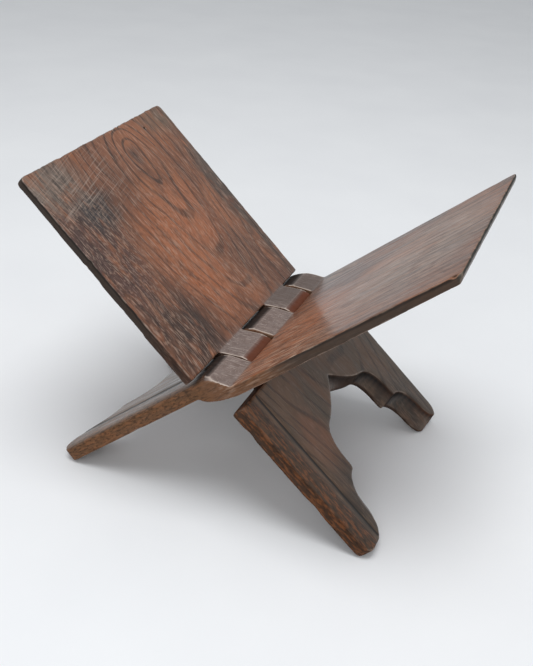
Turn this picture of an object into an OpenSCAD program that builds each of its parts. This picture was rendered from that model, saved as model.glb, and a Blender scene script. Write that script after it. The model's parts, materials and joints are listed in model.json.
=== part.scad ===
// Folding book stand: two boards cut from one plank and interlocked by their own knuckles.
// Origin on the floor under the hinge axis, +Z up, hinge axis along Y, +Y away from the moulded front edge.
// The stand is drawn fully open, resting on its stop and its four feet.

/* [Stand] */
// Width of the boards along the hinge
board_w = 152; // [130:1:190]
// Angle between the two leaves when the stand is fully open
open_angle = 98; // [80:1:104]
// Hinge axis to the top edge of a leaf
leaf_len = 157.5; // [125:0.5:200]
// Hinge axis to the end of a foot
leg_len = 124; // [112:1:150]

/* [Leaves] */
// Thickness of a leaf beside the hinge
leaf_root_t = 7; // [5:0.1:9]
// Thickness of a leaf at its top edge
leaf_tip_t = 5.2; // [3.5:0.1:7]
// How far the worn top edge slopes back across the thickness
tip_slope = 4; // [1:0.5:7]
// Rounding of the top corners
leaf_corner_r = 3.5; // [1:0.5:12]
// Front edge of the left leaf past the leg, beside the hinge
left_front_root = 4; // [-3:0.5:6]
// Front edge of the left leaf past the leg, at the top
left_front_tip = 0; // [-3:0.5:6]
// Back edge of the left leaf past the leg, at the top
left_back_tip = 4; // [-3:0.5:6]
// How much shorter the left leaf is along its front edge
left_front_short = 4; // [0:0.5:6]
// Front edge of the right leaf past the leg, at the top
right_front_tip = -1.5; // [-3:0.5:6]
// Back edge of the right leaf past the leg, at the top
right_back_tip = 2; // [-3:0.5:6]

/* [Legs] */
// Thickness of a leg
leg_t = 11; // [9:0.1:14]
// Hinge axis to the square upper end of a leg
leg_top = 15.5; // [14:0.5:20]
// Width of the flat worn on each foot, measured across the leg
foot_flat = 1.2; // [0.5:0.1:3]
// Rounding of the outer corner of the front feet
front_foot_r = 5; // [1:0.5:10]
// Rounding of the outer corner of the back feet
back_foot_r = 9; // [1:0.5:10]
// Width of the rounded bead along the front edge of each leg
bead_w = 14.5; // [8:0.5:20]
// Depth of the groove between the bead and the flat of the leg
groove_d = 1.5; // [0.5:0.1:2.5]
// Height of the square part of the front edge below the bead
bead_side = 8; // [4:0.1:8.2]

/* [Arch] */
// Half width of the arch on the outer face, above the cusps
arch_half_w = 42; // [30:0.5:48]
// Hinge axis to the point of the arch on the outer face
arch_apex = 44; // [36:0.5:50]
// Hinge axis to the cusps of the arch
arch_cusp = 89; // [85:0.5:92]
// Half width of the arch at the feet
arch_foot_half_w = 65; // [58:0.5:66]
// Width of the scooped rim around the arch
scoop_w = 8.5; // [4:0.5:12]
// Share of the leg's thickness left square below the scoop
scoop_wall = 0.22; // [0.1:0.01:0.5]
// Sideways place of the arch in the leg of the left board
left_arch_y = 5; // [-5:0.5:5]
// Sideways place of the arch in the leg of the right board
right_arch_y = -2; // [-5:0.5:5]

/* [Hinge] */
// Width of the front end knuckle
front_knuckle_w = 29.5; // [20:0.5:34]
// Width of the back end knuckle
back_knuckle_w = 24.5; // [20:0.5:34]
// Side clearance in front of the left board's knuckles
tight_play = 0.35; // [0.3:0.05:0.8]
// Side clearance behind the left board's knuckles
loose_play = 1.2; // [0.3:0.05:2]
// Gap between the inner faces when the stand is folded flat
kerf = 0.8; // [0.5:0.1:1.5]
// Clearance left at the stop when the stand is fully open
stop_gap = 0.2; // [0.1:0.05:0.5]
// Rise of the knuckle top above its own leaf
knuckle_crown = 0.7; // [0.2:0.1:1.2]
// Width of the sloping facet along a knuckle's free edge
free_facet = 5.5; // [3:0.5:7]
// How far the free edge of a knuckle sits below the axis line
free_drop = 2; // [1:0.5:3]
// Radius of the worn outer corners of the end knuckles
end_round = 12; // [6:0.5:16]

/* [Hidden] */
$fn = 64;
eps = 0.01;
over = 2;

half_open = open_angle / 2;
half_w = board_w / 2;
inner = kerf / 2;
leg_outer = inner + leg_t;
root_outer = inner + leaf_root_t;
tip_outer = inner + leaf_tip_t;

// A leaf's lower end meets the flat of the other board's leg at the open angle, first with the corner that
// stands nearer to it: the outer one past a right angle, the inner one short of it
stop_corner = open_angle > 90 ? root_outer : inner;
leaf_end = (leg_outer + stop_gap - stop_corner * cos(open_angle)) / sin(open_angle);
axis_z = leg_len * cos(half_open) - (inner + foot_flat) * sin(half_open);

// Lines between the five knuckles, front to back: the three between the end ones share what is left
knuckle_pitch = (board_w - front_knuckle_w - back_knuckle_w) / 3;
line1 = -half_w + front_knuckle_w;
line2 = line1 + knuckle_pitch;
line3 = line2 + knuckle_pitch;
line4 = line3 + knuckle_pitch;
LEFT_KNUCKLES = [[line1 + tight_play, line2 - loose_play], [line3 + tight_play, line4 - loose_play]];
RIGHT_KNUCKLES = [[-half_w, line1], [line2, line3], [line4, half_w]];

// ---- curves ----

// One point of a cubic curve
function cubic(a, b, c, d, u) =
    pow(1 - u, 3) * a + 3 * pow(1 - u, 2) * u * b + 3 * (1 - u) * u * u * c + pow(u, 3) * d;

// Points of a cubic curve without its last one
function cubic_run(a, b, c, d, steps) = [for (i = [0 : steps - 1]) cubic(a, b, c, d, i / steps)];

// Corner p of a convex outline, listed clockwise or not, replaced by an arc of radius r
function unit(v) = v / norm(v);
function corner_arc(before, p, after, r, steps = 8) =
    let (
        u = unit(before - p),
        v = unit(after - p),
        half = acos(u * v) / 2,
        centre = p + unit(u + v) * r / sin(half),
        from = centre - (p + u * r / tan(half)),
        to = centre - (p + v * r / tan(half))
    )
    [for (i = [0 : steps]) centre - unit(from * (1 - i / steps) + to * i / steps) * r];

// ---- extrusions in a board's own frame: X through the plank, Z up the leaf ----

module along_y(y_from, y_to) {
    translate([0, y_to, 0])
        rotate([90, 0, 0])
            linear_extrude(height = y_to - y_from)
                children();
}

module along_x(x_from, x_to) {
    translate([x_from, 0, 0])
        rotate([90, 0, 90])
            linear_extrude(height = x_to - x_from)
                children();
}

// ---- leaf ----

// Section through the thickness: tapered, with the top edge worn back on the outer side
module leaf_section() {
    polygon([
        [-inner, leaf_end],
        [-inner, leaf_len],
        [-inner - leaf_tip_t * 0.4, leaf_len - tip_slope * 0.2],
        [-tip_outer, leaf_len - tip_slope],
        [-root_outer, leaf_end + leaf_root_t],
        [-root_outer, leaf_end]
    ]);
}

// Face outline: front and back edges run slightly out of parallel, and so may the top edge
module leaf_outline(front_root, front_tip, back_tip, front_short) {
    root_front = [-half_w - front_root, leaf_end];
    root_back = [half_w, leaf_end];
    tip_front = [-half_w - front_tip, leaf_len - front_short];
    tip_back = [half_w + back_tip, leaf_len];
    polygon(concat(
        [root_front],
        corner_arc(root_front, tip_front, tip_back, leaf_corner_r),
        corner_arc(tip_front, tip_back, root_back, leaf_corner_r),
        [root_back]
    ));
}

module leaf(front_root, front_tip, back_tip, front_short) {
    widest = half_w + max(front_root, front_tip, back_tip, 0) + over;
    intersection() {
        along_y(-widest, widest) leaf_section();
        along_x(-root_outer - over, over) leaf_outline(front_root, front_tip, back_tip, front_short);
    }
}

// ---- leg ----

// Section through the thickness, with the foot's end worn flat where it stands
module leg_section() {
    polygon([
        [inner, -leg_top],
        [leg_outer, -leg_top],
        [leg_outer, -leg_len + foot_flat],
        [leg_outer - foot_flat, -leg_len],
        [inner + foot_flat, -leg_len],
        [inner, -leg_len + foot_flat * tan(half_open)]
    ]);
}

module leg_outline() {
    top_front = [-half_w, -leg_top];
    top_back = [half_w, -leg_top];
    foot_front = [-half_w, -leg_len];
    foot_back = [half_w, -leg_len];
    polygon(concat(
        [top_front],
        corner_arc(top_front, foot_front, foot_back, front_foot_r),
        corner_arc(foot_front, foot_back, top_back, back_foot_r),
        [top_back]
    ));
}

module leg() {
    intersection() {
        along_y(-half_w - over, half_w + over) leg_section();
        along_x(-over, leg_outer + over) leg_outline();
    }
}

// ---- knuckle ----

// A point given across and above the hinge axis of the open stand, in the board's own frame
function from_open(across, above) = [
    across * cos(half_open) + above * sin(half_open),
    -across * sin(half_open) + above * cos(half_open)
];

// The block that carries a leaf across the axis into its own leg
module knuckle_section() {
    free_across = leg_outer * cos(half_open) + free_drop * sin(half_open);
    leaf_above = leaf_end * cos(half_open) - inner * sin(half_open);
    under_foot = [-inner - 0.5, -0.6 * leg_top];
    under_root = [-root_outer, leaf_end + 0.35 * leaf_root_t];
    polygon(concat(
        [
            [-inner, leaf_end + leaf_root_t],
            [-inner, leaf_end],
            from_open(free_across - free_facet, leaf_above + knuckle_crown),
            [leg_outer, -free_drop],
            [leg_outer, -leg_top - leg_t],
            [inner, -leg_top - leg_t],
            [inner, under_foot[1] - 1.1]
        ],
        cubic_run(
            under_foot,
            [-inner - 0.48 * leaf_root_t, -0.42 * leg_top],
            [-inner - 0.91 * leaf_root_t, 0.13 * leg_top],
            under_root,
            10
        ),
        [under_root, [-root_outer, leaf_end + leaf_root_t]]
    ));
}

// Takes the outer free corner off an end knuckle; side is -1 in front, 1 behind
module end_corner_cut(side) {
    free_across = leg_outer * cos(half_open) + free_drop * sin(half_open);
    centre_x = free_across - end_round;
    top = leaf_end;
    slope = 1.6;
    rotate([0, half_open, 0])
        translate([centre_x, side * (half_w - end_round), 0])
            difference() {
                translate([0, side > 0 ? 0 : -3 * end_round, 0])
                    cube([3 * end_round, 3 * end_round, top]);
                translate([0, 0, -eps])
                    cylinder(
                        h = top + 2 * eps,
                        r1 = end_round + slope * leaf_end * cos(half_open),
                        r2 = end_round - slope * (top - leaf_end * cos(half_open))
                    );
            }
}

// ---- arch between the feet ----

// Right half of the arch on the outer face, from its point down past the foot
ARCH_HALF = concat(
    cubic_run(
        [0, -arch_apex],
        [0.24 * arch_half_w, -arch_apex - 8],
        [0.48 * arch_half_w, -arch_apex - 16],
        [0.71 * arch_half_w, -arch_apex - 17.5],
        6
    ),
    cubic_run(
        [0.71 * arch_half_w, -arch_apex - 17.5],
        [0.9 * arch_half_w, -arch_apex - 19],
        [arch_half_w, -arch_apex - 28],
        [arch_half_w, -arch_cusp + 7],
        7
    ),
    cubic_run(
        [arch_half_w, -arch_cusp + 7],
        [arch_half_w, -arch_cusp + 4],
        [arch_half_w, -arch_cusp + 2],
        [arch_half_w + 1.2, -arch_cusp],
        3
    ),
    cubic_run(
        [arch_half_w + 1.2, -arch_cusp],
        [arch_half_w + 10, -arch_cusp - 0.5],
        [arch_half_w + 14.5, -arch_cusp - 8],
        [arch_half_w + 16, -arch_cusp - 17],
        6
    ),
    cubic_run(
        [arch_half_w + 16, -arch_cusp - 17],
        [arch_half_w + 16.6, -arch_cusp - 24],
        [arch_half_w + 17.4, -leg_len + 6],
        [arch_foot_half_w, -leg_len + 1.5],
        5
    ),
    [[arch_foot_half_w + 5, -leg_len - over]]
);

// The same half at the depth where the scoop has taken the share k of its width: 0 inner, 1 outer
function scooped(p, k) = [
    p[0] * (1 - (1 - k) * scoop_w / arch_half_w),
    p[1] - (1 - k) * (1.2 + scoop_w * pow(max(0, 1 - p[0] / (0.71 * arch_half_w)), 2))
];

// Whole closed outline at one depth
function arch_ring(k) = concat(
    [for (p = ARCH_HALF) scooped(p, k)],
    [for (i = [len(ARCH_HALF) - 1 : -1 : 1]) let (q = scooped(ARCH_HALF[i], k)) [-q[0], q[1]]]
);

// Depths through the leg, from inside it to past the outer face
SCOOP_STEPS = 6;
function scoop_depth(i) = scoop_wall + (1 - scoop_wall) * i / SCOOP_STEPS;
ARCH_LEVELS = concat(
    [[-over, 0]],
    [for (i = [0 : SCOOP_STEPS]) [inner + leg_t * scoop_depth(i), sin(90 * i / SCOOP_STEPS)]],
    [[leg_outer + over, 1]]
);

module arch_cut() {
    rings = [for (level = ARCH_LEVELS) [for (p = arch_ring(level[1])) [level[0], p[0], p[1]]]];
    count = len(rings[0]);
    last = len(rings) - 1;
    sides = [
        for (r = [0 : last - 1])
            for (i = [0 : count - 1])
                let (a = r * count + i, b = r * count + (i + 1) % count)
                    each [[a, b, b + count], [a, b + count, a + count]]
    ];
    polyhedron(
        points = [for (ring = rings) each ring],
        faces = concat(
            [[for (i = [count - 1 : -1 : 0]) i]],
            sides,
            [[for (i = [0 : count - 1]) last * count + i]]
        )
    );
}

// ---- bead along the front edge of a leg ----

// Removes what stands above the rounded bead and its groove
module bead_cut() {
    centre = -half_w + 0.66 * bead_w;
    rise = leg_t - bead_side - 0.5;
    reach = centre + half_w + 0.1;
    curve = [
        for (i = [0 : 14])
            let (y = -half_w + bead_w * i / 14)
                [inner + bead_side + rise * sqrt(1 - pow((y - centre) / reach, 2)), y]
    ];
    translate([0, 0, -leg_len - over])
        linear_extrude(height = leg_len + over - free_drop)
            polygon(concat(
                [[leg_outer + over, -half_w - over], [inner + bead_side, -half_w - over]],
                curve,
                [[leg_outer - groove_d, -half_w + bead_w + 0.3], [leg_outer + over, -half_w + bead_w + 0.8]]
            ));
}

// ---- one board, folded flat: leaf on -X, leg on +X, hinge axis at the origin ----

module board(knuckles, front_root, front_tip, back_tip, front_short, arch_y) {
    difference() {
        union() {
            leaf(front_root, front_tip, back_tip, front_short);
            leg();
            for (k = knuckles) along_y(k[0], k[1]) knuckle_section();
        }
        translate([0, arch_y, 0]) arch_cut();
        bead_cut();
    }
}

module left_board() {
    color("#5a3423")
        translate([0, 0, axis_z])
            rotate([0, -half_open, 0])
                board(
                    LEFT_KNUCKLES,
                    left_front_root,
                    left_front_tip,
                    left_back_tip,
                    left_front_short,
                    left_arch_y
                );
}

module right_board() {
    color("#4c2d20")
        translate([0, 0, axis_z])
            mirror([1, 0, 0])
                rotate([0, -half_open, 0])
                    difference() {
                        board(RIGHT_KNUCKLES, 0, right_front_tip, right_back_tip, 0, right_arch_y);
                        end_corner_cut(-1);
                        end_corner_cut(1);
                    }
}

left_board();
right_board();
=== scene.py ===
"""Folding book stand cut from one plank: two carved hardwood boards, worn and waxed."""

import json
import math

import bmesh
import bpy
import numpy as np
from mathutils import Matrix, Vector


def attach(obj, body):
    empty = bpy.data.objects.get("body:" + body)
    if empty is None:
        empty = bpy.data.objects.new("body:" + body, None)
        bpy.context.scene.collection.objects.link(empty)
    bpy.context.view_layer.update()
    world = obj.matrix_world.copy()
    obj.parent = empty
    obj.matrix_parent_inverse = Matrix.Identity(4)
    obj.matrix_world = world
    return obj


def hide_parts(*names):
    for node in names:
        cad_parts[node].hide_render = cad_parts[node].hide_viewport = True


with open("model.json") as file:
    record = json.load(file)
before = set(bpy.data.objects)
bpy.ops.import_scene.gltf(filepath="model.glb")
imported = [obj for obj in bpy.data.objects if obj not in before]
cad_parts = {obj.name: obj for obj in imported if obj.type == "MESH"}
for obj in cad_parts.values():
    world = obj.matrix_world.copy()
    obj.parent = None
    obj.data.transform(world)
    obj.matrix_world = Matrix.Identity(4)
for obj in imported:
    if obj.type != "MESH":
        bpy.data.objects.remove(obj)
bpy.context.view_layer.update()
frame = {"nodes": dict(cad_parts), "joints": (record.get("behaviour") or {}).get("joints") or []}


# ---- sizes, in millimetres unless a name says otherwise ----

MM = 0.001
JOINT = frame["joints"][0]
HINGE = Vector(JOINT["pos_m"])
HALF_OPEN = math.radians(JOINT["range_deg"][1]) / 2

# A board's own frame: t through the plank (leaf below 0, leg above 0), y along the hinge and s up
# the leaf. turn leans the board to its open place; flip is -1 where t runs against the turned X axis.
BOARDS = {
    "left_board": {"turn": -HALF_OPEN, "flip": 1},
    "right_board": {"turn": HALF_OPEN, "flip": -1},
}

VOXEL = 0.5  # size of the cubes that the boards' skins are rebuilt from
FACES_KEPT = 0.28  # share of the rebuilt skin's faces that stays
CRISP_PASSES = 4  # smoothing that rounds an edge about as far as a plane leaves it
WORN_PASSES = 22  # further smoothing that rounds it as far as years of handling do
ARRIS_DEPTH = 0.4  # rounding at which an edge counts as fully worn
GROOVE_DEPTH = 0.1  # filling at which an inner corner counts as a full hollow
UNDARKENED_ROOT = 20  # the hollows on the leaf are not darkened this near to the hinge
HAND_WAVE = 0.22  # hollows left by hand planing
RAISED_GRAIN = 0.05  # how far soft wood has worn back between the hard lines
CHIPPED = 0.25  # depth of the small chips along the edges
RAGGED_TOP = 0.4  # depth to which the leaf's sawn top edge is broken away
RAGGED_REACH = 6  # how far down from the top that breaking fades out
KNUCKLE_REACH = 15.5  # distance from the hinge that the knuckles' surfaces stay within


# ---- boards' own coordinates ----


def lean(side):
    """Turns a board's upright, hinge-centred shape to its place in the stand."""
    return Matrix.Translation(HINGE) @ Matrix.Rotation(side["turn"], 4, "Y")


def coordinates(mesh):
    """The places of the mesh's points, one row each."""
    co = np.empty(len(mesh.vertices) * 3)
    mesh.vertices.foreach_get("co", co)
    return co.reshape(-1, 3)


def normals(mesh):
    """The directions that the mesh's points face, one row each."""
    facing = np.empty(len(mesh.vertices) * 3)
    mesh.vertex_normals.foreach_get("vector", facing)
    return facing.reshape(-1, 3)


def store(mesh, name, values):
    """Keeps one number for each point, for the material to read."""
    layer = mesh.attributes.new(name, "FLOAT", "POINT")
    layer.data.foreach_set("value", np.asarray(values, np.float32))


def finished_mesh(obj):
    """The object's mesh with its modifiers applied and removed."""
    depsgraph = bpy.context.evaluated_depsgraph_get()
    evaluated = obj.evaluated_get(depsgraph)
    mesh = bpy.data.meshes.new_from_object(
        evaluated,
        preserve_all_data_layers=True,
        depsgraph=depsgraph,
    )
    obj.modifiers.clear()
    return mesh


# ---- wear and tool work on the surface ----


HILLS = 256  # random hills each way before the pattern repeats


def eased(share):
    """A share from 0 to 1 with a soft start and end."""
    return share * share * (3 - 2 * share)


def soft_noise(u, v, seed):
    """Smooth random hills from 0 to 1 over a plane, one hill per unit."""
    table = np.random.default_rng(seed).random((HILLS, HILLS))
    iu = np.floor(u).astype(int)
    iv = np.floor(v).astype(int)
    fu = eased(u - iu)
    fv = eased(v - iv)

    def corner(du, dv):
        return table[(iu + du) % HILLS, (iv + dv) % HILLS]

    near = corner(0, 0) * (1 - fu) + corner(1, 0) * fu
    far = corner(0, 1) * (1 - fu) + corner(1, 1) * fu
    return near * (1 - fv) + far * fv


def neighbour_mean(co, edges):
    """Mean place of each point's neighbours."""
    count = len(co)
    a, b = edges[:, 0], edges[:, 1]
    total = [np.bincount(a, axis[b], count) + np.bincount(b, axis[a], count) for axis in co.T]
    neighbours = np.bincount(a, minlength=count) + np.bincount(b, minlength=count)
    return np.stack(total, 1) / np.maximum(neighbours, 1)[:, None]


def rubbed(co, edges, passes):
    """Smooths the shape by moving each point halfway to its neighbours, again and again."""
    for _ in range(passes):
        co = co * 0.5 + neighbour_mean(co, edges) * 0.5
    return co


# Nicks, dents and chips: centre (t, y, s), reach along each, and how far the wood is pushed at
# the centre
NICKS = {
    "left_board": [
        ((-3.0, 25.1, 157.4), (9.0, 1.5, 4.0), (0, 0, -1.9)),
        ((-3.0, 17.9, 157.2), (9.0, 1.0, 3.0), (0, 0, -1.2)),
        ((-3.0, 51.0, 157.6), (9.0, 3.0, 2.5), (0, 0, -0.7)),
        ((-3.0, -38.0, 155.0), (9.0, 5.0, 2.5), (0, 0, -0.6)),
        ((-3.0, -57.0, 154.4), (9.0, 2.0, 2.0), (0, 0, -0.8)),
        ((-0.4, 47.5, 146.6), (3.0, 1.5, 1.5), (-1.8, 0, 0)),
        ((-3.0, -77.5, 96.0), (9.0, 1.6, 2.5), (0, 0.9, 0)),
        ((-3.0, -79.0, 62.0), (9.0, 1.6, 5.0), (0, 0.6, 0)),
        ((5.0, -76.0, -47.0), (6.0, 1.2, 3.0), (0, 0.6, 0)),
        ((0.4, -76.0, -30.0), (3.0, 2.5, 6.0), (0.9, 0, 0)),
        ((0.4, -76.0, -84.0), (3.0, 2.5, 9.0), (0.8, 0, 0)),
    ],
    "right_board": [
        ((-0.4, -74.0, 152.5), (1.8, 1.6, 3.2), (-0.9, 0.8, 0)),
        ((-0.4, -75.2, 128.0), (1.4, 1.2, 2.2), (-0.6, 0.4, 0)),
        ((-0.4, -75.4, 104.0), (1.4, 1.2, 3.5), (-0.5, 0.4, 0)),
        ((-3.0, 42.0, 157.4), (9.0, 2.5, 2.2), (0, 0, -0.6)),
        ((-3.0, 2.0, 157.4), (9.0, 1.6, 2.0), (0, 0, -0.7)),
        ((11.4, -76.0, -96.0), (3.0, 2.0, 4.0), (-0.7, 0, 0)),
        ((0.4, -76.0, -62.0), (3.0, 2.0, 7.0), (0.8, 0, 0)),
    ],
}


def nicked(shape, nicks):
    """Pushes the wood in at each nick, fading out over its reach."""
    for centre, reach, push in nicks:
        away = np.linalg.norm((shape - centre) / reach, axis=1)
        fade = np.clip(1 - away, 0, 1)[:, None]
        shape = shape + eased(fade) * np.array(push)
    return shape


def worn(mesh, side, nicks, seed):
    """Rounds the edges, hollows the faces a little and raises the grain.

    Wood only comes off, except in inner corners, which fill by up to about 0.3.
    """
    co = coordinates(mesh) / MM
    facing = normals(mesh)
    edges = np.empty(len(mesh.edges) * 2, int)
    mesh.edges.foreach_get("vertices", edges)
    edges = edges.reshape(-1, 2)

    # Edges lose wood and inner corners fill when the shape is smoothed
    crisp = rubbed(co, edges, CRISP_PASSES)
    soft = rubbed(crisp, edges, WORN_PASSES)
    inward = ((soft - co) * facing).sum(1)
    edge_wear = np.clip(-inward / ARRIS_DEPTH, 0, 1)
    from_hinge = np.hypot(co[:, 0], co[:, 2])
    darkening = np.where(co[:, 2] > 0, np.clip((from_hinge - UNDARKENED_ROOT) / 4, 0, 1), 1)
    hollow = np.clip(inward / GROOVE_DEPTH, 0, 1) * darkening

    # Handling rounds some lengths of an edge more than others
    t, y, s = co[:, 0] * side["flip"], co[:, 1], co[:, 2]
    rub = 0.35 + 0.5 * soft_noise((y + t) / 6, s / 8, seed)
    rounded = crisp + (soft - crisp) * rub[:, None]
    kept = co + (crisp - co) * 0.3
    shape = np.where((inward < 0)[:, None], rounded, kept)

    # Planing hollows, raised grain and chips; each noise is spread by its own size in millimetres
    wave = 0.6 * soft_noise(y / 23 + 7, s / 41, seed + 1) + 0.4 * soft_noise(y / 9, s / 19, seed + 2)
    drift = y + 3 * soft_noise(y / 30, s / 35, seed + 3)
    fine_lines = soft_noise(drift / 1.1, s / 24, seed + 4)
    wide_lines = soft_noise(drift / 2.6, s / 50, seed + 5)
    side_lines = soft_noise(t / 1.0 + 5, s / 15, seed + 6)
    sideways = np.abs(facing[:, 1])
    grain = (0.6 * fine_lines + 0.4 * wide_lines) * (1 - sideways) + side_lines * sideways
    chips = np.clip(soft_noise((y + t) / 2.0, s / 2.6, seed + 8) * 5 - 3.9, 0, 1) * edge_wear
    depth = HAND_WAVE * wave + RAISED_GRAIN * grain + CHIPPED * chips
    shape = shape - facing * (depth * (1 - 0.7 * hollow))[:, None]

    # The broken top edge and the single nicks, on the board in its own (t, y, s)
    own = (side["flip"], 1, 1)
    upright = shape * own
    height = upright[:, 2]
    near_top = np.clip((height - height.max() + RAGGED_REACH) / RAGGED_REACH, 0, 1)
    upright[:, 2] -= RAGGED_TOP * near_top * soft_noise(y / 2.3, t * 0, seed + 7)
    upright = nicked(upright, nicks)
    mesh.vertices.foreach_set("co", (upright * own * MM).ravel())
    store(mesh, "worn_edge", edge_wear)
    store(mesh, "hollow", hollow)


def carved_board(node, seed):
    """A closed, worn skin in place of one plain board."""
    side = BOARDS[node]
    mesh = frame["nodes"][node].data.copy()
    weld = bmesh.new()
    weld.from_mesh(mesh)
    bmesh.ops.remove_doubles(weld, verts=weld.verts, dist=1e-6)
    weld.to_mesh(mesh)
    weld.free()
    mesh.transform(lean(side).inverted())
    mesh.materials.clear()

    board = bpy.data.objects.new(node + "_wood", mesh)
    bpy.context.scene.collection.objects.link(board)
    rebuild = board.modifiers.new("rebuild", "REMESH")
    rebuild.mode = "VOXEL"
    rebuild.voxel_size = VOXEL * MM
    board.data = finished_mesh(board)

    worn(board.data, side, NICKS[node], seed)
    thin = board.modifiers.new("thin", "DECIMATE")
    thin.ratio = FACES_KEPT
    board.data = finished_mesh(board)
    board.data.name = board.name

    mesh = board.data
    facing = normals(mesh)
    place = coordinates(mesh) / MM
    store(mesh, "edge_face", np.hypot(facing[:, 1], facing[:, 2]))
    store(mesh, "knuckle_top", knuckle_top(place, facing, side))
    store(mesh, "knuckle_flank", knuckle_flank(place, facing, side))
    mesh.transform(lean(side))
    mesh.shade_smooth()
    return board


def knuckle_top(place, facing, side):
    """1 on the level tops of the knuckles beside the hinge, 0 elsewhere."""
    up = math.cos(side["turn"]) * facing[:, 2] - math.sin(side["turn"]) * facing[:, 0]
    from_hinge = np.hypot(place[:, 0], place[:, 2])
    level = np.clip((up - 0.72) / 0.14, 0, 1)
    near = np.clip((KNUCKLE_REACH - from_hinge) / 1.5, 0, 1)
    return level * near * (place[:, 2] > 0)


def knuckle_flank(place, facing, side):
    """1 on the sides of the knuckles that face the other board, where the material paints shade; 0
    elsewhere.
    """
    level = math.cos(side["turn"]) * place[:, 0] + math.sin(side["turn"]) * place[:, 2]
    past_hinge = -level * np.sign(side["turn"])
    from_hinge = np.hypot(place[:, 0], place[:, 2])
    outer = np.clip(past_hinge / 3 - 1, 0, 1)
    near = np.clip((KNUCKLE_REACH - 0.5 - from_hinge) / 2, 0, 1)
    return outer * near * (1 - np.abs(facing[:, 1]))


# ---- materials ----


def linear(code):
    """An sRGB hex colour as linear RGBA."""
    parts = [int(code[i : i + 2], 16) / 255 for i in (1, 3, 5)]
    return [v / 12.92 if v <= 0.04045 else ((v + 0.055) / 1.055) ** 2.4 for v in parts] + [1.0]


def add(tree, kind, links=None, **settings):
    """Adds a node; links gives its sockets a value or the output that feeds them."""
    node = tree.nodes.new(kind)
    for name, value in settings.items():
        setattr(node, name, value)
    for socket, value in (links or {}).items():
        if isinstance(value, bpy.types.NodeSocket):
            tree.links.new(value, node.inputs[socket])
        else:
            node.inputs[socket].default_value = value
    return node


FACTOR, COLOR_A, COLOR_B, COLOR = 0, 6, 7, 2  # sockets of a colour Mix node


def lay(tree, colour, tone, share, *masks):
    """Lays a tone over a colour by a share, where every mask is 1."""
    for mask in masks:
        share = add(tree, "ShaderNodeMath", {0: mask, 1: share}, operation="MULTIPLY").outputs[0]
    links = {FACTOR: share, COLOR_A: colour, COLOR_B: linear(tone)}
    return add(tree, "ShaderNodeMix", links, data_type="RGBA").outputs[COLOR]


def ramp(low, high):
    """Socket values for a soft cut that is 0 at low and 1 at high."""
    return {"From Min": low, "From Max": high}


def streaks(tree, place, size, low, high, seed, detail=2.0):
    """Streaks or blotches of a size (t, y, s); 0 where the noise is low, 1 where it is high."""
    start = (seed * 3.7, seed * 1.9, seed * 5.3)
    links = {"Vector": place, "Location": start, "Scale": [1 / v for v in size]}
    spread = add(tree, "ShaderNodeMapping", links).outputs[0]
    noise = add(tree, "ShaderNodeTexNoise", {"Vector": spread, "Scale": 1.0, "Detail": detail})
    links = {"Value": noise.outputs["Fac"], **ramp(low, high)}
    return add(tree, "ShaderNodeMapRange", links, interpolation_type="SMOOTHSTEP").outputs["Result"]


def spot(tree, place, centre, reach, soft):
    """1 inside an ellipse (y, s) on a board, fading to 0 at its reach."""
    (y, s), (ry, rs) = centre, reach
    links = {"Vector": place, "Location": (0, -y / ry, -s / rs), "Scale": (0, 1 / ry, 1 / rs)}
    local = add(tree, "ShaderNodeMapping", links).outputs[0]
    away = add(tree, "ShaderNodeVectorMath", {0: local}, operation="LENGTH").outputs["Value"]
    links = {"Value": away, **ramp(1.0, 1.0 - soft)}
    return add(tree, "ShaderNodeMapRange", links, interpolation_type="SMOOTHSTEP").outputs["Result"]


# Aged sheesham, hand planed, oiled and waxed: brown to red-brown, dark pores, greyed where hands and
# damp have taken the wax, and a soft sheen where they have polished it; two grey patches below add
# painted sheen
TONES = {
    "left_board": {
        "ground": "#64402e",
        "warm": "#925a3a",
        "leg": "#544435",
        "leg_warm": "#694a33",
        "side": "#231914",
        "leg_side": "#4c2913",
        "bead": "#3b2819",
        "fleck": "#7d4a28",
        "shaded_flank": "#5a2f1d",
    },
    "right_board": {
        "ground": "#5f3e2d",
        "warm": "#8a583a",
        "leg": "#574636",
        "leg_warm": "#7c5a40",
        "side": "#664a35",
        "leg_side": "#744c31",
        "bead": "#62462f",
        "fleck": "#84583a",
        "shaded_flank": "#120c0a",
    },
}

# Shades that both boards share
LATE_WOOD = "#20150f"
# Painted highlight on raised fibres
FIBRE_HIGHLIGHT = "#c9ab96"
SCRATCHED_WAX = "#a8988c"
OPEN_PORE = "#1d130e"
PIT = "#17100c"
# Painted shade under the leg's arch
ARCH_SHADE = "#2c231c"
OUTER_SIDE = "#38302a"
# Painted shade: a dark line on the sides just under the upper arris
ARRIS_SHADE = "#171210"
TOP_EDGE = "#34332e"
# Painted sheen: the grey-purple of the knuckle tops, lit from above
KNUCKLE_SHEEN = "#766964"
KNUCKLE_MOTTLE = "#57443d"
KNUCKLE_SPECK = "#a3928a"
KNUCKLE_MARK = "#b5a79f"
BACK_KNUCKLES = "#4c3f39"
PALE_ARRIS = "#9d8a7b"
PALE_RIM = "#c4b6ab"
HOLLOW_DARK = "#0e0a08"

# Where one zone of a board gives way to the next: where it starts, and where it is full
LEG_ZONE = (4.0, -12.0)  # up the board (s)
CLEAR_FIGURE = (-14.0, 4.0)  # up the board (s); below it the figure is duller
OUTER_ZONE = (30.0, 60.0)  # up the board (s)
BEAD_ZONE = (-64.5, -67.0)  # along the hinge (y)
UPPER_SIDE = (-2.6, -1.6)  # through the plank (t); the painted shade line just under the upper arris
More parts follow.
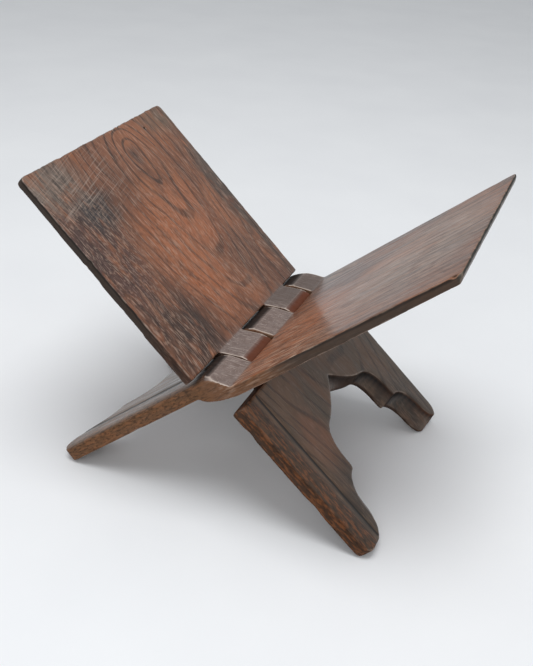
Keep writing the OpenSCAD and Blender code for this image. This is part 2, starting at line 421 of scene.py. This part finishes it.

# Soft patches: tone, centre (y, s), reach (y, s), share
PATCHES = {
    "left_board": [
        ("#9c5c38", (-8, 66), (36, 64), 0.85),
        ("#985937", (26, 84), (26, 44), 0.65),
        ("#8d5b41", (8, 142), (50, 22), 0.5),
        ("#44332c", (21, 134), (9, 11), 0.8),
        ("#33272a", (-64, 94), (38, 66), 0.78),
        ("#2a1f1b", (-58, 30), (44, 38), 0.85),
        ("#2a2a2c", (-44, 118), (26, 20), 0.9),
        # Grey at the upper left: greyed, scratched wax with painted sheen
        ("#6b625a", (-64, 142), (40, 24), 0.9),
        ("#4c433c", (74, 78), (20, 96), 0.8),
        ("#625a4e", (66, 150), (30, 16), 0.6),
        ("#85553a", (-44, -60), (18, 30), 0.6),
        ("#75573f", (-56, -26), (40, 26), 0.6),
        ("#2b221a", (0, -104), (130, 40), 0.8),
    ],
    "right_board": [
        ("#a8653f", (-30, 34), (66, 48), 0.8),
        # Grey over the outer right leaf: painted sheen, the bright floor it reflects
        ("#8a7464", (8, 112), (84, 60), 0.7),
        ("#9a6242", (24, 92), (16, 40), 0.4),
        ("#6f6156", (66, 34), (24, 34), 0.6),
        ("#38302a", (30, -100), (90, 24), 0.5),
    ],
}

# Streaks along the grain: tone, size (t, y, s), noise where they start and end, share.
# Real fibres are 0.1 to 0.3 wide; the last three are drawn 0.8 to 1.0 wide so that they show.
STREAKS = [
    ("#2a1c16", (9, 8, 60), 0.48, 0.76, 0.42),
    ("#a36c4c", (6, 4, 36), 0.5, 0.76, 0.32),
    ("#1d130e", (1.4, 1.0, 18), 0.48, 0.74, 0.38),
    ("#b89c8b", (1.2, 0.9, 8), 0.52, 0.7, 0.34),
    ("#150d09", (0.9, 0.8, 3.6), 0.53, 0.67, 0.36),
]

# Painted highlights where raised fibres catch the light: centre (y, s), reach (y, s), strand size
# (t, y, s), share
GLINTING_FIBRES = {
    "left_board": [
        ((-62, 30), (26, 40), (1.0, 0.9, 6.0), 0.26),
        ((-58, 100), (36, 56), (1.0, 1.0, 3.0), 0.24),
        ((10, 60), (60, 70), (1.0, 0.8, 6.0), 0.18),
    ],
    "right_board": [
        ((-68, 38), (26, 50), (1.0, 0.8, 15), 0.85),
        ((-30, 50), (60, 60), (1.0, 0.9, 12), 0.45),
        ((0, 120), (84, 60), (1.0, 1.1, 9), 0.3),
    ],
}

# Growth rings cut nearly flat: an eye (y, s) they close round, their length below and above it for one
# of width, and their spacing
RINGS = {
    "left_board": ((21, 133), 3.6, 1.3, 7.0),
    "right_board": ((70, 60), 6.0, 6.0, 7.5),
}


def growth_rings(tree, along, eye, below, above, spacing):
    """Thin dark late-wood lines, closing into a long drop round the eye."""
    y, s = eye
    parts = add(tree, "ShaderNodeSeparateXYZ", {0: along})
    aside = add(tree, "ShaderNodeMath", {0: parts.outputs["Y"], 1: y}, operation="SUBTRACT").outputs[0]
    rise = add(tree, "ShaderNodeMath", {0: parts.outputs["Z"], 1: s}, operation="SUBTRACT").outputs[0]
    low = add(tree, "ShaderNodeMath", {0: rise, 1: below}, operation="DIVIDE").outputs[0]
    high = add(tree, "ShaderNodeMath", {0: rise, 1: above}, operation="DIVIDE").outputs[0]
    drop = add(tree, "ShaderNodeMath", {0: low, 1: high}, operation="MAXIMUM").outputs[0]
    flat = add(tree, "ShaderNodeCombineXYZ", {"X": aside, "Y": drop}).outputs[0]
    away = add(tree, "ShaderNodeVectorMath", {0: flat}, operation="LENGTH").outputs["Value"]
    links = {0: away, 1: 2 * math.pi / spacing, 2: 1.5}
    turn = add(tree, "ShaderNodeMath", links, operation="MULTIPLY_ADD").outputs[0]
    swing = add(tree, "ShaderNodeMath", {0: turn}, operation="SINE").outputs[0]
    links = {"Value": swing, **ramp(0.6, 0.98)}
    return add(tree, "ShaderNodeMapRange", links, interpolation_type="SMOOTHSTEP").outputs["Result"]


def board_place(tree, side):
    """The board's own coordinates (t, y, s) in millimetres."""
    source = add(tree, "ShaderNodeTexCoord").outputs["Object"]
    links = {
        "Vector": source,
        "Location": HINGE,
        "Rotation": (0, side["turn"], 0),
        "Scale": (side["flip"] * MM, MM, MM),
    }
    return add(tree, "ShaderNodeMapping", links, vector_type="TEXTURE").outputs[0]


def drifting_grain(tree, place):
    """Coordinates that wander slowly, because grain doesn't run straight."""
    links = {"Vector": place, "Scale": (1 / 40, 1 / 30, 1 / 70)}
    spread = add(tree, "ShaderNodeMapping", links).outputs[0]
    links = {"Vector": spread, "Scale": 1.0, "Detail": 1.0}
    drift = add(tree, "ShaderNodeTexNoise", links).outputs["Color"]
    links = {0: drift, 1: (8, 18, 30), 2: place}
    along = add(tree, "ShaderNodeVectorMath", links, operation="MULTIPLY_ADD").outputs[0]
    links = {0: along, 1: (4, 9, 15)}
    return add(tree, "ShaderNodeVectorMath", links, operation="SUBTRACT").outputs[0]


def plank_colour(tree, node, place, along, low):
    """Wide, slow colour, with the leg darker than the leaf."""
    tone = TONES[node]
    blotch = streaks(tree, along, (22, 20, 44), 0.35, 0.65, 1, detail=5.0)
    leaf = lay(tree, linear(tone["ground"]), tone["warm"], 0.8, blotch)
    leg = lay(tree, linear(tone["leg"]), tone["leg_warm"], 0.7, blotch)
    links = {FACTOR: low, COLOR_A: leaf, COLOR_B: leg}
    colour = add(tree, "ShaderNodeMix", links, data_type="RGBA").outputs[COLOR]
    ragged = streaks(tree, along, (7, 5, 11), 0.26, 0.54, 2, detail=6.0)
    for shade, centre, reach, share in PATCHES[node]:
        colour = lay(tree, colour, shade, share, spot(tree, place, centre, reach, 0.7), ragged)
    return colour


def grain_figure(tree, node, place, along, colour, shown):
    """Growth rings, fibres and painted highlights on raised fibres; also gives the streaks, for the
    relief.
    """
    rings = growth_rings(tree, along, *RINGS[node])
    broken = streaks(tree, along, (9, 9, 30), 0.26, 0.5, 3, detail=3.0)
    eye = spot(tree, place, RINGS[node][0], (40, 66), 0.7)
    colour = lay(tree, colour, LATE_WOOD, 0.5, rings, broken)
    colour = lay(tree, colour, LATE_WOOD, 0.5, rings, eye)
    fibres = []
    for seed, (shade, size, start, full, share) in enumerate(STREAKS, 4):
        fibres.append(streaks(tree, along, size, start, full, seed, detail=3.0))
        colour = lay(tree, colour, shade, share, fibres[-1], shown)
    # Pale strands: painted highlights where raised fibres catch the light
    for centre, reach, size, share in GLINTING_FIBRES[node]:
        strand = streaks(tree, along, size, 0.52, 0.66, 10, detail=2.0)
        glint_area = spot(tree, place, centre, reach, 0.6)
        colour = lay(tree, colour, FIBRE_HIGHLIGHT, share, glint_area, strand)
    return colour, fibres


def scratched_corner(tree, place, colour):
    """Scratches across the grain, pale where they break the wax."""
    links = {"Vector": place, "Rotation": (math.radians(-14), 0, 0)}
    slant = add(tree, "ShaderNodeMapping", links).outputs[0]
    scratch = streaks(tree, slant, (3, 26, 0.8), 0.52, 0.72, 12, detail=3.0)
    corner = spot(tree, place, (-40, 132), (66, 34), 0.8)
    return lay(tree, colour, SCRATCHED_WAX, 0.42, scratch, corner)


def sawn_sides(tree, tone, place, parts, colour, sawn, low):
    """Short open pores on the sawn sides, a rough bead in front, darker outer edges, painted shade
    under the arch and a painted shade line just under the upper arris.
    """
    depth, across, height = parts
    open_pore = streaks(tree, place, (0.9, 0.9, 5.5), 0.5, 0.66, 13, detail=3.0)
    colour = lay(tree, colour, tone["side"], 0.7, sawn)
    colour = lay(tree, colour, tone["leg_side"], 0.9, sawn, low)
    colour = lay(tree, colour, OPEN_PORE, 0.4, sawn, open_pore)

    bead = add(tree, "ShaderNodeMapRange", {"Value": across, **ramp(*BEAD_ZONE)}).outputs["Result"]
    rough = streaks(tree, place, (1.6, 1.3, 7.0), 0.46, 0.62, 19, detail=5.0)
    pitted = streaks(tree, place, (1.2, 1.1, 3.2), 0.48, 0.62, 20, detail=4.0)
    colour = lay(tree, colour, tone["bead"], 0.75, bead, low)
    colour = lay(tree, colour, tone["fleck"], 0.6, bead, low, rough)
    colour = lay(tree, colour, PIT, 0.5, bead, low, pitted)

    # Painted shade: the sawn faces round the arch, facing the floor, darkened
    arch = spot(tree, place, (4, -100), (58, 66), 0.1)
    colour = lay(tree, colour, ARCH_SHADE, 0.75, sawn, low, arch)
    links = {"Value": depth, **ramp(*UPPER_SIDE)}
    upper = add(tree, "ShaderNodeMapRange", links, interpolation_type="SMOOTHSTEP").outputs["Result"]
    links = {"Value": height, **ramp(*OUTER_ZONE)}
    outer = add(tree, "ShaderNodeMapRange", links, interpolation_type="SMOOTHSTEP").outputs["Result"]
    tip = spot(tree, place, (0, 160), (160, 9), 0.3)
    colour = lay(tree, colour, OUTER_SIDE, 0.8, sawn, outer)
    # Painted shade: a dark line along the sawn sides just under the upper arris, on the outer leaf
    colour = lay(tree, colour, ARRIS_SHADE, 0.7, sawn, upper, outer)
    return lay(tree, colour, TOP_EDGE, 0.85, sawn, tip)


def knuckle_wear_sheen_and_shade(tree, tone, place, colour, top, shaded_flank):
    """Knuckle tops are end grain rubbed smooth and waxed; their grey-purple is painted sheen from the
    light above, and the knuckle sides that face the other board get painted shade.
    """
    mottled = streaks(tree, place, (4, 4, 4), 0.35, 0.65, 14, detail=5.0)
    speck = streaks(tree, place, (0.9, 0.9, 0.9), 0.6, 0.68, 15)
    rub_mark = streaks(tree, place, (7, 0.8, 7), 0.56, 0.68, 18)
    back = spot(tree, place, (48, 8), (34, 60), 0.5)
    # Painted sheen on the knuckle tops
    colour = lay(tree, colour, KNUCKLE_SHEEN, 0.9, top)
    colour = lay(tree, colour, KNUCKLE_MOTTLE, 0.5, top, mottled)
    colour = lay(tree, colour, KNUCKLE_SPECK, 0.5, top, speck)
    colour = lay(tree, colour, KNUCKLE_MARK, 0.45, top, rub_mark)
    colour = lay(tree, colour, BACK_KNUCKLES, 0.65, top, back)
    # Painted shade: the knuckle sides in the gaps between the boards, near black on the right board
    # and red-brown on the left
    return lay(tree, colour, tone["shaded_flank"], 0.95, shaded_flank)


def worn_and_darkened(tree, place, colour, top):
    """Worn arrises show pale wood, and the hollows are darkened to near black."""
    worn_edge = add(tree, "ShaderNodeAttribute", attribute_name="worn_edge").outputs["Fac"]
    hollow = add(tree, "ShaderNodeAttribute", attribute_name="hollow").outputs["Fac"]
    rubbed_edge = add(tree, "ShaderNodeMapRange", {"Value": worn_edge, **ramp(0.45, 1.0)}).outputs[0]
    rim = add(tree, "ShaderNodeMapRange", {"Value": worn_edge, **ramp(0.15, 0.6)}).outputs[0]
    patchy = streaks(tree, place, (9, 9, 9), 0.44, 0.62, 16, detail=5.0)
    colour = lay(tree, colour, PALE_ARRIS, 0.4, rubbed_edge, patchy)
    colour = lay(tree, colour, PALE_RIM, 0.75, rim, top)
    # Hollows and inner corners darkened to near black
    return lay(tree, colour, HOLLOW_DARK, 0.9, hollow)


def waxed_surface(tree, along, fibres, dry):
    """Roughness, wax weight and relief: a soft sheen on the faces, dull where dry and sawn."""
    links = {0: fibres[3], 1: fibres[4]}
    ridge = add(tree, "ShaderNodeMath", links, operation="SUBTRACT").outputs[0]
    relief = add(tree, "ShaderNodeBump", {"Height": ridge, "Strength": 0.4, "Distance": 0.1 * MM})
    dull = streaks(tree, along, (5, 4, 22), 0.3, 0.7, 17, detail=4.0)
    links = {"Value": dull, "To Min": 0.36, "To Max": 0.62}
    gloss = add(tree, "ShaderNodeMapRange", links).outputs[0]
    links = {0: dry, 1: 0.35, 2: gloss}
    gloss = add(tree, "ShaderNodeMath", links, operation="MULTIPLY_ADD").outputs[0]
    links = {"Value": dry, "To Min": 0.6, "To Max": 0.04}
    wax = add(tree, "ShaderNodeMapRange", links).outputs[0]
    return relief.outputs[0], gloss, wax


def waxed_sheesham(node):
    """The wood of one board: hand planed, oiled, waxed, and worn by use."""
    tone = TONES[node]
    material = bpy.data.materials.new("waxed_sheesham_" + node)
    material.use_nodes = True
    tree = material.node_tree
    tree.nodes.clear()

    place = board_place(tree, BOARDS[node])
    along = drifting_grain(tree, place)
    parts = add(tree, "ShaderNodeSeparateXYZ", {0: place}).outputs
    height = parts[2]
    links = {"Value": height, **ramp(*LEG_ZONE)}
    low = add(tree, "ShaderNodeMapRange", links, interpolation_type="SMOOTHSTEP").outputs["Result"]
    links = {"Value": height, **ramp(*CLEAR_FIGURE), "To Min": 0.35}
    shown = add(tree, "ShaderNodeMapRange", links).outputs["Result"]
    edge_face = add(tree, "ShaderNodeAttribute", attribute_name="edge_face").outputs["Fac"]
    sawn = add(tree, "ShaderNodeMapRange", {"Value": edge_face, **ramp(0.6, 0.9)}).outputs[0]
    top = add(tree, "ShaderNodeAttribute", attribute_name="knuckle_top").outputs["Fac"]
    shaded_flank = add(tree, "ShaderNodeAttribute", attribute_name="knuckle_flank").outputs["Fac"]
    dry = add(tree, "ShaderNodeMath", {0: sawn, 1: shaded_flank}, operation="MAXIMUM").outputs[0]

    colour = plank_colour(tree, node, place, along, low)
    colour, fibres = grain_figure(tree, node, place, along, colour, shown)
    if node == "left_board":
        colour = scratched_corner(tree, place, colour)
    colour = sawn_sides(tree, tone, place, parts, colour, sawn, low)
    colour = knuckle_wear_sheen_and_shade(tree, tone, place, colour, top, shaded_flank)
    colour = worn_and_darkened(tree, place, colour, top)

    relief, gloss, wax = waxed_surface(tree, along, fibres, dry)
    links = {
        "Base Color": colour,
        "Roughness": gloss,
        "Normal": relief,
        "Specular IOR Level": 0.25,
        "Coat Weight": wax,
        "Coat Roughness": 0.22,
    }
    wood = add(tree, "ShaderNodeBsdfPrincipled", links)
    add(tree, "ShaderNodeOutputMaterial", {"Surface": wood.outputs[0]})
    return material


# ---- the two boards ----

for seed, node in ((11, "left_board"), (47, "right_board")):
    board = carved_board(node, seed)
    board.data.materials.append(waxed_sheesham(node))
    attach(board, node)
    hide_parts(node)

# ---- floor, light and camera ----


FLOOR_HALF = 6.0  # metres from the middle of the floor to its edge


def pale_floor():
    """A wide pale board under the stand: matt paint, rolled, with a faint clouding."""
    material = bpy.data.materials.new("pale_painted_floor")
    material.use_nodes = True
    tree = material.node_tree
    tree.nodes.clear()
    source = add(tree, "ShaderNodeTexCoord").outputs["Object"]
    links = {"Vector": source, "Scale": 9.0, "Detail": 4.0}
    cloud = add(tree, "ShaderNodeTexNoise", links).outputs["Fac"]
    links = {FACTOR: cloud, COLOR_A: linear("#e6e8eb"), COLOR_B: linear("#eff1f3")}
    tone = add(tree, "ShaderNodeMix", links, data_type="RGBA").outputs[COLOR]
    paint = add(tree, "ShaderNodeBsdfPrincipled", {"Base Color": tone, "Roughness": 0.7})
    add(tree, "ShaderNodeOutputMaterial", {"Surface": paint.outputs[0]})

    mesh = bpy.data.meshes.new("floor")
    corners = [(-1, -1), (1, -1), (1, 1), (-1, 1)]
    places = [(x * FLOOR_HALF, y * FLOOR_HALF, 0) for x, y in corners]
    mesh.from_pydata(places, [], [(0, 1, 2, 3)])
    mesh.materials.append(material)
    floor = bpy.data.objects.new("floor", mesh)
    bpy.context.scene.collection.objects.link(floor)


def soft_light(name, place, size, watts):
    """A round softbox that faces the hinge; place and size in metres."""
    lamp = bpy.data.lights.new(name, "AREA")
    lamp.shape = "DISK"
    lamp.size = size
    lamp.energy = watts
    light = bpy.data.objects.new(name, lamp)
    light.location = place
    light.rotation_euler = (HINGE - Vector(place)).to_track_quat("-Z", "Y").to_euler()
    bpy.context.scene.collection.objects.link(light)


def studio():
    """A white tent with a softbox overhead and a weaker one in front."""
    world = bpy.data.worlds.new("white_tent")
    world.use_nodes = True
    sky = world.node_tree.nodes["Background"]
    sky.inputs["Color"].default_value = linear("#f8fafc")
    sky.inputs["Strength"].default_value = 0.52
    bpy.context.scene.world = world
    soft_light("overhead_softbox", (0.05, -0.2, 1.5), 0.9, 12.5)
    soft_light("front_softbox", (0.3, -1.4, 1.0), 0.9, 5.0)


def camera(azimuth=20.7, elevation=29.94, roll=4.18, distance=0.5453, lens=48.25):
    """Looks at the middle of the hinge from in front, a little to the right and above.

    Angles in degrees, distance in metres, lens in millimetres.
    """
    data = bpy.data.cameras.new("camera")
    data.lens = lens
    data.sensor_width = 36
    eye = bpy.data.objects.new("camera", data)
    a = math.radians(azimuth)
    e = math.radians(elevation)
    away = Vector((math.sin(a) * math.cos(e), -math.cos(a) * math.cos(e), math.sin(e)))
    turn = (-away).to_track_quat("-Z", "Y").to_matrix().to_4x4()
    roll_turn = Matrix.Rotation(math.radians(roll), 4, "Z")
    eye.matrix_world = Matrix.Translation(HINGE + away * distance) @ turn @ roll_turn
    bpy.context.scene.collection.objects.link(eye)
    bpy.context.scene.camera = eye


pale_floor()
studio()
camera()
bpy.context.scene.view_settings.view_transform = "Standard"
